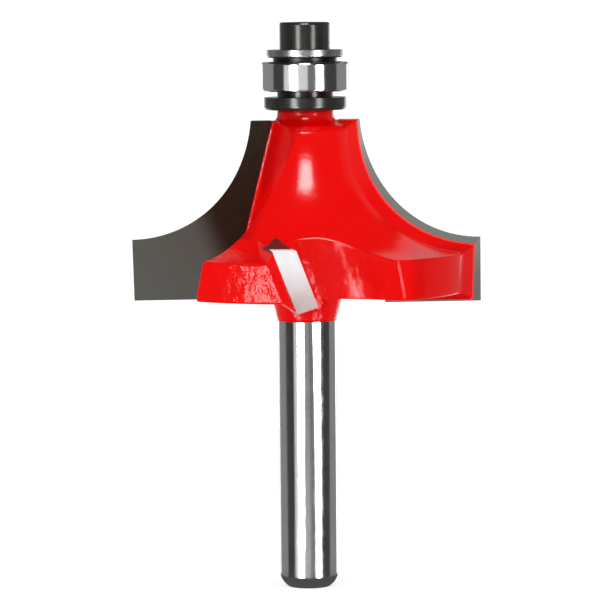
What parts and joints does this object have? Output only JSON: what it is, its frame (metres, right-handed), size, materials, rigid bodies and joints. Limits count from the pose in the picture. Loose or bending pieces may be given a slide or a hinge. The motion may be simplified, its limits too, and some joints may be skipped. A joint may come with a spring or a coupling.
{
  "type": "router bit",
  "caption": "Corner-rounding router bit with a concave cutting profile, brazed carbide tips, a red coated body, a round shank and a ball-bearing pilot.",
  "frame": {"origin": "centre of the shank's flat end", "axes": "+Z along the shank towards the guide bearing, X along the flat faces of the two main cutters"},
  "size_m": [0.0378, 0.038, 0.0619],
  "materials": {
    "coated_steel": "gloss red coating on the head, ground bare steel on the shank",
    "carbide": "ground tungsten carbide, satin",
    "black_steel": "black oxide, oiled",
    "bearing_steel": "ground and polished",
    "cage_steel": "plain pressed steel"
  },
  "bodies": {
    "bit": {"body": "coated_steel", "main_cutter_left": "carbide", "main_cutter_right": "carbide", "side_cutter_front": "carbide", "side_cutter_rear": "carbide", "stop_collar": "black_steel", "bearing_inner_ring": "bearing_steel", "top_washer": "black_steel", "cap_screw": "black_steel"},
    "outer_ring": {"bearing_outer_ring": "bearing_steel", "shield_bottom": "bearing_steel", "shield_top": "bearing_steel"},
    "cage": {"bearing_cage": "cage_steel", "ball_1": "bearing_steel", "ball_2": "bearing_steel", "ball_3": "bearing_steel", "ball_4": "bearing_steel", "ball_5": "bearing_steel", "ball_6": "bearing_steel", "ball_7": "bearing_steel", "ball_8": "bearing_steel"}
  },
  "joints": [
    {"name": "guide_bearing_turn", "type": "hinge", "parent": "bit", "child": "outer_ring", "pos_m": [0, 0, 0.05602], "axis": [0, 0, 1], "continuous": true},
    {"name": "cage_turn", "type": "hinge", "parent": "bit", "child": "cage", "pos_m": [0, 0, 0.05602], "axis": [0, 0, 1], "continuous": true}
  ],
  "couplings": [
    {"joint": "cage_turn", "follows": "guide_bearing_turn", "ratio": 0.61111}
  ]
}
